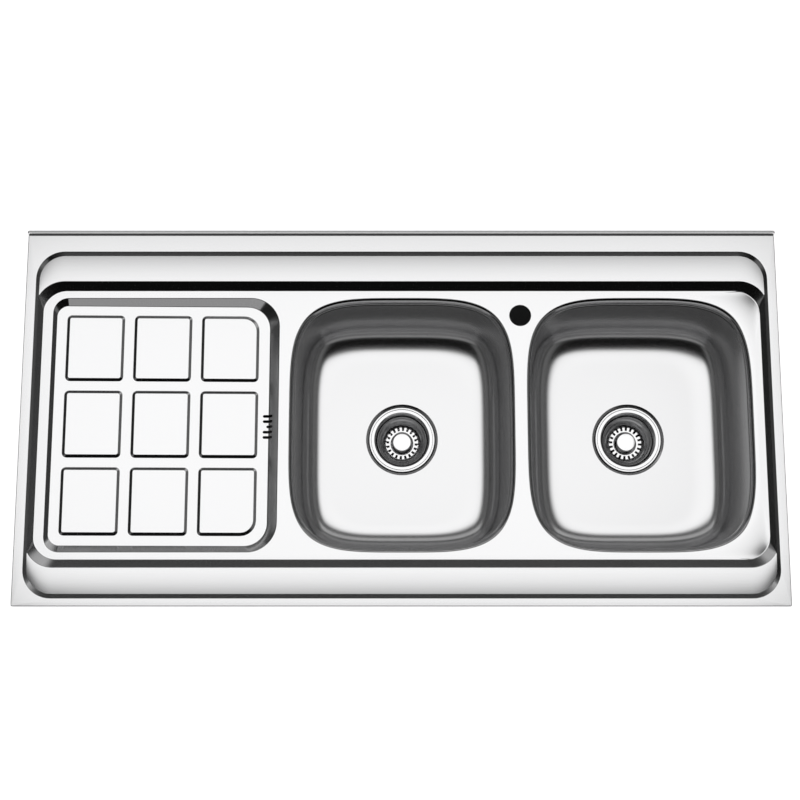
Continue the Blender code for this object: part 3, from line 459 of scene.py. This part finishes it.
def addSteps(bm):
    sizes = deckSizes
    top = rimRing(sizes["rimBox"], sizes["rimRadius"], sizes["rim"])
    foot = tilted(rimRing(sizes["footBox"], sizes["footRadius"], sizes["ledge"]))
    ledge = ledgeRing()
    edge = deckRing(sizes["deckBox"], (sizes["deckRadius"],) * 4, sizes["cornerDips"])
    field = deckRing(sizes["fieldBox"], sizes["fieldRadii"], (0,) * 4)
    lines = evenSlope(top, foot, sizes["stepRounding"], 0) + easedSlope(foot, ledge)
    lines += evenSlope(ledge, edge, 0, sizes["edgeRounding"])[1:] + easedSlope(edge, field)
    return sweep(bm, lines)[1]


def addLip(bm, side):
    sizes = bowlSizes
    lines = []
    for turn in evenSteps(0, math.pi / 2, sizes["lipSteps"]):
        inset = (sizes["lipIn"] + sizes["lipOut"]) * math.sin(turn) - sizes["lipOut"]
        lines.append(bowlPlaces(side, inset, deckSizes["deck"] - sizes["lipDrop"] * (1 - math.cos(turn))))
    lines.append(bowlPlaces(side, sizes["lipIn"], sizes["lipFoot"]))
    return sweep(bm, lines)[0]


def trayFloor(x):
    x0, x1 = traySizes["floorBox"][:2]
    return traySizes["leftFloor"] + (traySizes["rightFloor"] - traySizes["leftFloor"]) * (x - x0) / (x1 - x0)


def padTop(x):
    return trayFloor(x) + traySizes["padRise"]


def addPad(bm, box, radii):
    x0, x1, y0, y1 = box
    bevel, steps = traySizes["padBevel"], traySizes["padSteps"]
    low = roundPlaces(box, radii, trayFloor, steps)
    inner = (x0 + bevel, x1 - bevel, y0 + bevel, y1 - bevel)
    high = roundPlaces(inner, [radius - bevel for radius in radii], padTop, steps)
    foot, edge = sweep(bm, evenSlope(low, high, traySizes["padRounding"], traySizes["padRounding"]))
    bmesh.ops.contextual_create(bm, geom=ringEdges(edge))
    return foot


def addTray(bm):
    sizes = traySizes
    top = roundPlaces(sizes["box"], sizes["radii"], deckSizes["deck"], sizes["cornerSteps"])
    foot = roundPlaces(sizes["floorBox"], sizes["floorRadii"], trayFloor, sizes["cornerSteps"])
    edge, floor = sweep(bm, evenSlope(top, foot, sizes["wallRounding"], sizes["wallRounding"]))
    feet = []
    width = (sizes["padsX"][1] - sizes["padsX"][0] - 2 * sizes["padGap"]) / 3
    length = (sizes["padsY"][1] - sizes["padsY"][0] - 2 * sizes["padGap"]) / 3
    for column in range(3):
        for row in range(3):
            x = sizes["padsX"][0] + column * (width + sizes["padGap"])
            y = sizes["padsY"][0] + row * (length + sizes["padGap"])
            radii = [sizes["padRadius"]] * 4
            if column == 2 and row != 1:
                radii[1 if row == 0 else 2] = sizes["padOuterRadius"]
            feet.append(addPad(bm, (x, x + width, y, y + length), radii))
    fillFlat(bm, [floor] + feet)
    return edge


def slotCutter():
    sizes = traySizes
    bm = bmesh.new()
    for place in range(-2, 3):
        start = sizes["slotX"][0] + (sizes["middleSlotCut"] if place == 0 else 0)
        y, half = sizes["slotY"] + place * sizes["slotPitch"], sizes["slotWidth"] / 2
        box = (start, sizes["slotX"][1], y - half, y + half)
        radii = (half - sizes["slotFlat"],) * 4
        heights = (0, deckSizes["deck"])
        for ring in sweep(bm, [roundPlaces(box, radii, height, sizes["slotSteps"]) for height in heights]):
            bmesh.ops.contextual_create(bm, geom=ringEdges(ring))
    bmesh.ops.recalc_face_normals(bm, faces=bm.faces)
    return newPiece("slot_cutter", bm)


def makeDeck():
    bm = bmesh.new()
    addRim(bm)
    holes = [addSteps(bm), addTray(bm)] + [addLip(bm, side) for side in bowlSizes["centres"]]
    tap = circlePlaces(deckSizes["tapHole"], deckSizes["tapRadius"], deckSizes["deck"], deckSizes["tapSides"])
    holes.append(startRing(bm, tap))
    fillFlat(bm, holes)
    bmesh.ops.remove_doubles(bm, verts=bm.verts, dist=weld)
    faceUp(bm)
    deck = newPiece("pressed_deck", bm)
    giveThickness(deck, deckSizes["thickness"])
    applyModifiers(deck)
    combine(deck, slotCutter(), "DIFFERENCE")
    dress(deck, "sink", "deckSteel", "deck")


makeDeck()
print("deck made")


# bowls: collar, drawn walls, a fillet that levels out slowly, and the drain's recess

def filletRuns():  # parts of the way in and down, in a turn that slows towards the floor
    lean, count = math.radians(bowlSizes["wallLean"]), bowlSizes["filletSteps"]
    inward, down = 0.0, 0.0
    runs = [(0.0, 0.0)]
    for step in range(count):
        left = 1 - (step + 0.5) / count
        turn = math.pi / 2 - (math.pi / 2 - lean) * left * left
        inward, down = inward + math.sin(turn), down + math.cos(turn)
        runs.append((inward, down))
    return [(run / inward, fall / down) for run, fall in runs]


def makeBowl(side):
    sizes = bowlSizes
    levels = [(sizes["collarInset"], sizes["collarTop"]), *sizes["seam"]]
    wallFoot = bowlPlaces(side, sizes["wallInset"], sizes["floor"] + sizes["filletFall"], shift=sizes["wallShift"])
    floorEdge = bowlPlaces(side, 0, sizes["floor"], sizes["floorHalf"], sizes["floorPowers"], sizes["floorShift"])
    bm = bmesh.new()
    lines = [bowlPlaces(side, inset, height) for inset, height in levels]
    lines += [between(wallFoot, floorEdge, run, fall) for run, fall in filletRuns()]
    recess = drainPlaces(side, sizes["recess"], sizes["floor"])
    recessFoot = drainPlaces(side, sizes["recessFoot"], sizes["recessFloor"])
    lines += evenSlope(recess, recessFoot, sizes["recessRounding"], sizes["recessRounding"])
    lines.append(drainPlaces(side, sizes["drain"], sizes["recessFloor"]))
    sweep(bm, lines)
    faceUp(bm)
    bowl = newPiece(side + "_deep_bowl", bm)
    giveThickness(bowl, sizes["thickness"])
    applyModifiers(bowl)
    dress(bowl, "sink", "bowlSteel", side + "_bowl")


for side in bowlSizes["centres"]:
    makeBowl(side)
print("bowls made")


# wastes: all their pieces are turned about the drain's axis, heights from the flange's top

wasteSizes = {
    "top": -126.9, "steps": 112, "rounding": 0.5, "knobRounding": 0.35, "ringRounding": 0.2, "roundSteps": 3,
}
bodyProfile = [
    (54.2, 0), (54.5, -0.3), (54.5, -1.5), (45.5, -1.5), (45.5, -27), (37.8, -46), (23.5, -46), (23.5, -72),
    (20, -72), (20, -44.2), (29, -44.2), (37, -36), (38.6, -16.4), (42.4, -12.8), (44, -2.5), (46.3, 0), (50.9, 0),
    (51.2, -0.2), (51.6, -0.2), (51.9, 0),
]
knobProfile = [
    (0, -24), (4, -24.04), (8, -24.15), (12, -24.35), (14.6, -24.6), (15.5, -25), (16, -26), (16, -29),
    (14.2, -30.5), (5, -30.5), (7.5, -34.3), (7.5, -36.1), (3.4, -36.1), (3.4, -41.7), (0, -41.7),
]
stopperProfile = [
    (0, -42), (3.7, -42), (3.7, -37.6), (9, -37.6), (9, -39.2), (24.5, -39.2), (26, -42.4), (24.5, -43.9), (0, -43.9),
]
ringFinishes = {"friction_washer": ("slip_card", "slipCard")}  # the others are black rubber
ringProfiles = {
    "flange_seal": [(53.8, -1.8), (53.8, -3.3), (46.8, -3.3), (46.8, -1.8)],
    "under_washer": [(55.5, -4.9), (55.5, -7.4), (46.6, -7.4), (46.6, -4.9)],
    "friction_washer": [(55.5, -7.7), (55.5, -8.5), (46.6, -8.5), (46.6, -7.7)],
    "tail_washer": [(23.2, -72.3), (23.2, -74.3), (17.8, -74.3), (17.8, -72.3)],
}
tailProfile = [(23.2, -74.6), (23.2, -76.6), (19.5, -76.6), (19.5, -146.6), (17.8, -146.6), (17.8, -74.6)]
branchProfile = [
    (7.5, -18.4), (10, -18.4), (10, -29), (10.9, -29), (10, -34), (10.9, -34.2), (10, -39.2), (10.9, -39.4),
    (10, -44.6), (7.5, -44.6),
]
branchSizes = {"height": -104.6, "bore": 7.5, "boreEnds": (-12, -30), "rounding": 0.3}
basketSizes = {
    "teeth": 20, "parts": 8, "sharp": 50, "sheet": 0.9,
    "rim": 40.6, "neck": 36.8, "foot": 28.3, "floor": 27.2, "root": 21.6, "ring": 18.6, "groove": 15.6, "land": 11.5,
    "hub": 10, "eye": 3.8, "rimZ": -12.0, "neckZ": -15.2, "footZ": -32.4, "floorZ": -36.4, "grooveZ": -37.9,
}
nutSizes = {
    "lock_nut": {"outer": 53.5, "lug": 5, "inner": [(46.4, -22.8), (46.4, -8.8)], "top": -8.8, "foot": -22.8},
    "coupling_nut": {"outer": 28.2, "lug": 2.5, "top": -58, "foot": -79.6,
                     "inner": [(20.2, -79.6), (20.2, -76.9), (24.2, -76.9), (24.2, -58)]},
}
nutShape = {"lugs": 6, "points": 144, "edge": 0.8, "lugStart": 0.25, "lugRun": 0.6}


def toDrain(bm, side):
    centre = (bowlSizes["centres"][side] * mm, bowlSizes["middleY"] * mm, wasteSizes["top"] * mm)
    bmesh.ops.translate(bm, verts=bm.verts, vec=centre)


def spun(profile, rounding):  # a line of points, corners rounded, spun about the axis
    bm = bmesh.new()
    verts = [bm.verts.new((radius * mm, 0, height * mm)) for radius, height in profile]
    closed = profile[0][0] > 0
    for pair in zip(verts, verts[1:] + (verts[:1] if closed else [])):
        bm.edges.new(pair)
    bmesh.ops.bevel(bm, geom=verts if closed else verts[1:-1], offset=rounding * mm, offset_type="OFFSET",
                    segments=wasteSizes["roundSteps"], profile=0.5, affect="VERTICES", clamp_overlap=True,
                    material=-1)
    bmesh.ops.spin(bm, geom=bm.verts[:] + bm.edges[:], cent=(0, 0, 0), axis=(0, 0, 1), angle=2 * math.pi,
                   steps=wasteSizes["steps"], use_merge=True)
    bmesh.ops.remove_doubles(bm, verts=bm.verts, dist=weld)
    bmesh.ops.recalc_face_normals(bm, faces=bm.faces)
    return bm


def turned(name, side, profile, rounding=wasteSizes["rounding"]):
    bm = spun(profile, rounding)
    toDrain(bm, side)
    return newPiece(name, bm)


def makeBasket(side):
    sizes = basketSizes
    count = sizes["teeth"] * sizes["parts"]
    levels = [("rim", "rimZ"), ("neck", "neckZ"), ("foot", "footZ"), ("floor", "floorZ"), ("root", "floorZ"),
              ("ring", "floorZ"), ("groove", "grooveZ"), ("land", "grooveZ"), ("hub", "floorZ"), ("eye", "floorZ")]
    bm = bmesh.new()
    sweep(bm, [circlePlaces((0, 0), sizes[radius], sizes[height], count) for radius, height in levels])
    slots = []
    for face in bm.faces:  # every second step of the foot and the floor's edge is a slot
        centre = face.calc_center_median()
        radius = math.hypot(centre.x, centre.y) / mm
        turn = math.atan2(centre.y, centre.x) / (2 * math.pi) * sizes["teeth"] % 1
        if sizes["root"] < radius < sizes["foot"] and turn > 0.5:
            slots.append(face)
    bmesh.ops.delete(bm, geom=slots, context="FACES")
    faceUp(bm)
    toDrain(bm, side)
    basket = newPiece(side + "_strainer_insert", bm, sizes["sharp"])
    giveThickness(basket, sizes["sheet"])
    applyModifiers(basket)
    dress(basket, side + "_strainer_basket", "wasteSteel", side + "_basket")


def makeNut(side, node):  # a ring with lugs for the fingers, its edges eased
    sizes = nutSizes[node]
    count, lugs, edge = nutShape["points"], nutShape["lugs"], nutShape["edge"]

    def lugged(inset, height):
        places = []
        for step in range(count):
            turn = 2 * math.pi * step / count
            lift = eased((math.cos(lugs * turn) + nutShape["lugStart"]) / nutShape["lugRun"])
            reach = (sizes["outer"] - inset + sizes["lug"] * lift) * mm
            places.append((reach * math.cos(turn), reach * math.sin(turn), height * mm))
        return places

    bm = bmesh.new()
    lines = [lugged(edge, sizes["top"]), lugged(edge / 3, sizes["top"] - edge / 3), lugged(0, sizes["top"] - edge),
             lugged(0, sizes["foot"] + edge), lugged(edge / 3, sizes["foot"] + edge / 3), lugged(edge, sizes["foot"])]
    lines += [circlePlaces((0, 0), radius, height, count) for radius, height in sizes["inner"]]
    sweep(bm, lines + lines[:1])
    bmesh.ops.remove_doubles(bm, verts=bm.verts, dist=weld)
    bmesh.ops.recalc_face_normals(bm, faces=bm.faces)
    toDrain(bm, side)
    nut = newPiece(side + "_" + node.replace("nut", "ring"), bm)
    dress(nut, "sink", "whitePlastic", side + "_" + node)


def sideways(name, profile):  # a spun shape laid along -X at the height of the hose branch
    bm = spun(profile, branchSizes["rounding"])
    turn = Vector((0, 0, 1)).rotation_difference(Vector((1, 0, 0))).to_matrix()
    bmesh.ops.rotate(bm, verts=bm.verts, cent=(0, 0, 0), matrix=turn)
    bmesh.ops.translate(bm, verts=bm.verts, vec=(0, 0, branchSizes["height"] * mm))
    toDrain(bm, "left")
    return newPiece(name, bm)


def makeTailpiece(side):
    tail = turned(side + "_tail_pipe", side, tailProfile)
    if side == "left":  # the tray's hose fits on this one
        bore, (start, end) = branchSizes["bore"], branchSizes["boreEnds"]
        combine(tail, sideways("branch_bore", [(0, start), (bore, start), (bore, end), (0, end)]), "DIFFERENCE")
        combine(tail, sideways("branch", branchProfile), "UNION")
    dress(tail, "sink", "whitePlastic", side + "_tailpiece")


def makeWaste(side):
    basketBody = side + "_strainer_basket"
    body = turned(side + "_waste_body", side, bodyProfile)
    dress(body, "sink", "wasteSteel", side + "_strainer_body")
    makeBasket(side)
    knob = turned(side + "_pull_knob", side, knobProfile, wasteSizes["knobRounding"])
    dress(knob, basketBody, "wasteSteel", side + "_basket_knob")
    stopper = turned(side + "_rubber_stopper", side, stopperProfile)
    dress(stopper, basketBody, "blackRubber", side + "_basket_stopper")
    for node, profile in ringProfiles.items():
        ring = turned(side + "_" + node + "_ring", side, profile, wasteSizes["ringRounding"])
        slot, finish = ringFinishes.get(node, ("black_rubber", "blackRubber"))
        dress(ring, "sink", finish, side + "_" + node)
    for node in nutSizes:
        makeNut(side, node)
    makeTailpiece(side)


for side in bowlSizes["centres"]:
    makeWaste(side)
print("wastes made")


# carried nodes keep their mesh and get a finish

carried = {
    "zincPlate": ["tray_stiffener_left", "tray_stiffener_right"], "blackRubber": ["tray_outlet_gasket"],
    "blackPlastic": ["tray_outlet_cup"], "dampingMat": ["left_sound_pad", "right_sound_pad"],
}
for finish, nodes in carried.items():
    for node in nodes:
        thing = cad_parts[node]
        thing.data.materials.clear()
        thing.data.materials.append(finishes[finish].material)
print("carried nodes dressed")


# stage: white floor with a painted shade below the sink, soft box overhead, a surround that only reflections see,
# camera; sizes in metres

stageSizes = {
    "floor": -0.275, "floorSpan": 30, "floorGlow": 0.93, "floorTone": 0.85, "shadeTone": 0.02,
    # shadeTone and shade: the colour and the reach of the painted shade on the floor below the sink
    "shade": (("X", -0.66, -0.42, 0.0, 1.0), ("X", 0.42, 0.66, 1.0, 0.0), ("Y", -0.26, -0.1, 0.0, 1.0),
              ("Y", 0.27, 0.4, 1.0, 0.0)),
    "box": (3.6, 2.0), "boxCentre": (0, 0.5, 2.5), "boxLevel": 1.2, "boxEcho": 0.36,
    "boxFades": (("X", -1.8, -1.1, 0.15, 1.0), ("X", 1.1, 1.8, 1.0, 0.15), ("Y", -1.0, -0.58, 0.05, 1.0),
                 ("Y", 0.42, 1.0, 1.0, 0.2)),
    "frontCorners": (1.5, 2.17, 2.4, 1.0, 0.05),
    "surround": 3.6, "surroundTop": 2.62, "wallEcho": 0.05,
    "ceilingMiddle": (0.85, 1.3, 0.171, 0.0078), "ceilingDirect": 0.2,
    "ceilingSides": (2.2, 2.5, 0.0, 0.12), "ceilingRear": (2.1, 2.7, 0.0, 0.42),
    "wallFades": {  # the plane's own axis, then its tones from place to place along it
        "rear_wall": ("Y", (-0.2, 0.04, 0.2, 0.026), (0.66, 1.0, 0.0, 0.45)),
        "front_wall": ("Y", (0.55, 0.95, 0.34, 0.0102)),
        "left_wall": ("X", (-1.0, -0.8, 0.132, 0.012)),
        "right_wall": ("X", (-1.0, -0.8, 0.16, 0.04)),
    },
}
cameraSizes = {"place": (-0.002, -0.471, 2.463), "aim": (-0.002, 0.0233, 0.035), "lens": 70.8, "sensor": 36}


def stagePlane(name, size, place, turn):
    bm = bmesh.new()
    bmesh.ops.create_grid(bm, x_segments=1, y_segments=1, size=0.5)
    bmesh.ops.scale(bm, verts=bm.verts, vec=(size[0], size[1], 1))
    mesh = bpy.data.meshes.new(name)
    bm.to_mesh(mesh)
    bm.free()
    plane = bpy.data.objects.new(name, mesh)
    bpy.context.collection.objects.link(plane)
    plane.location = place
    plane.rotation_euler = turn
    return plane


def seenDirectly(finish):  # 1 where the camera, a reflection or a clear piece looks at the stage
    path = finish.tree.nodes.new("ShaderNodeLightPath")
    rays = [Wire(finish, path.outputs[name]) for name in ("Is Camera Ray", "Is Glossy Ray", "Is Transmission Ray")]
    return rays[0] + rays[1] + rays[2]


def axisOf(finish, axis):
    return finish.node("ShaderNodeSeparateXYZ", {}, {"Vector": finish.place}, axis)


def makeFloor():
    floor = stagePlane("floor", (stageSizes["floorSpan"],) * 2, (0, 0, stageSizes["floor"]), (0, 0, 0))
    finish = Finish("floor_paper")
    shade = 1.0
    for axis, *reach in stageSizes["shade"]:  # a painted shade below the sink, fading out at its edges
        shade = finish.ramp(axisOf(finish, axis), *reach) * shade
    # in the painted shade the floor's glow goes out and its colour turns dark
    glow = finish.grey(seenDirectly(finish) * (1 - shade))
    tone = finish.blend(shade, (*[stageSizes["floorTone"]] * 3, 1), (*[stageSizes["shadeTone"]] * 3, 1))
    finish.give(Base_Color=tone, Roughness=0.9, Emission_Color=glow, Emission_Strength=stageSizes["floorGlow"])
    floor.data.materials.append(finish.material)


def glowFinish(name, strength, share):
    glow = Finish(name)
    glow.tree.nodes.remove(glow.shader)
    light = glow.node("ShaderNodeEmission", {}, {"Color": glow.grey(share(glow)), "Strength": strength})
    glow.feed(glow.tree.nodes["Material Output"].inputs["Surface"], light)
    return glow.material


def echoes(glow):  # 1 where steel mirrors other steel
    path = glow.tree.nodes.new("ShaderNodeLightPath")
    depth = Wire(glow, path.outputs["Ray Depth"])
    return glow.node("ShaderNodeMath", {"operation": "GREATER_THAN"}, {0: depth, 1: 1.5})


def boxShare(glow):  # full in the middle, fading to its edges, and dim in echoes
    share = 1 - echoes(glow) * (1 - stageSizes["boxEcho"])
    for axis, *reach in stageSizes["boxFades"]:
        share = glow.ramp(axisOf(glow, axis), *reach) * share
    slant, *reach = stageSizes["frontCorners"]  # the two front corners are cut off
    for side in (-1, 1):
        share = glow.ramp(axisOf(glow, "X") * side - axisOf(glow, "Y") * slant, *reach) * share
    return share


def ceilingTone(glow):  # its middle is seen mostly in echoes; its sides and rear are paler
    out = glow.node("ShaderNodeVectorMath", {"operation": "LENGTH"}, {0: glow.place}, "Value")
    outward = glow.node("ShaderNodeMath", {"operation": "ABSOLUTE"}, {0: axisOf(glow, "X")})
    direct = stageSizes["ceilingDirect"]
    tone = glow.ramp(out, *stageSizes["ceilingMiddle"]) * (direct + echoes(glow) * (1 - direct))
    tone = tone + glow.ramp(outward, *stageSizes["ceilingSides"])
    tone = tone + glow.ramp(axisOf(glow, "Y"), *stageSizes["ceilingRear"])
    return tone + echoes(glow) * stageSizes["wallEcho"]


def wallTone(name):  # dark where the steps look, paler elsewhere, and a little paler in echoes
    def tone(glow):
        axis, *fades = stageSizes["wallFades"][name]
        level = echoes(glow) * stageSizes["wallEcho"]
        for fade in fades:
            level = glow.ramp(axisOf(glow, axis), *fade) + level
        return level

    return tone


def addGlow(name, size, place, turn, strength, share):  # a lit plane that the camera doesn't see
    plane = stagePlane(name, size, place, turn)
    plane.visible_camera = False
    plane.data.materials.append(glowFinish(name + "_glow", strength, share))


def makeLights():
    flat, upright, sideOn = (0, 0, 0), (math.pi / 2, 0, 0), (0, math.pi / 2, 0)
    reach, top = stageSizes["surround"], stageSizes["surroundTop"]
    middle, tall = (top + stageSizes["floor"]) / 2, top - stageSizes["floor"]
    walls = {
        "rear_wall": ((2 * reach, tall), (0, reach, middle), upright),
        "front_wall": ((2 * reach, tall), (0, -reach, middle), upright),
        "left_wall": ((tall, 2 * reach), (-reach, 0, middle), sideOn),
        "right_wall": ((tall, 2 * reach), (reach, 0, middle), sideOn),
    }
    addGlow("soft_box", stageSizes["box"], stageSizes["boxCentre"], flat, stageSizes["boxLevel"], boxShare)
    addGlow("ceiling", (2 * reach, 2 * reach), (0, 0, top), flat, 1.0, ceilingTone)
    for name, (size, place, turn) in walls.items():
        addGlow(name, size, place, turn, 1.0, wallTone(name))


def makeWorld():
    world = bpy.data.worlds.new("studio")
    world.use_nodes = True
    bpy.context.scene.world = world
    white = Finish("studio", world.node_tree)
    back = world.node_tree.nodes["Background"]
    white.feed(back.inputs["Color"], white.grey(seenDirectly(white)))


def makeCamera():
    camera = bpy.data.objects.new("camera", bpy.data.cameras.new("camera"))
    bpy.context.collection.objects.link(camera)
    camera.location = cameraSizes["place"]
    aim = Vector(cameraSizes["aim"]) - camera.location
    camera.rotation_euler = aim.to_track_quat("-Z", "Y").to_euler()
    camera.data.lens = cameraSizes["lens"]
    camera.data.sensor_width = cameraSizes["sensor"]
    bpy.context.scene.camera = camera


makeFloor()
makeLights()
makeWorld()
makeCamera()
bpy.context.scene.view_settings.view_transform = "Standard"
print("stage set")
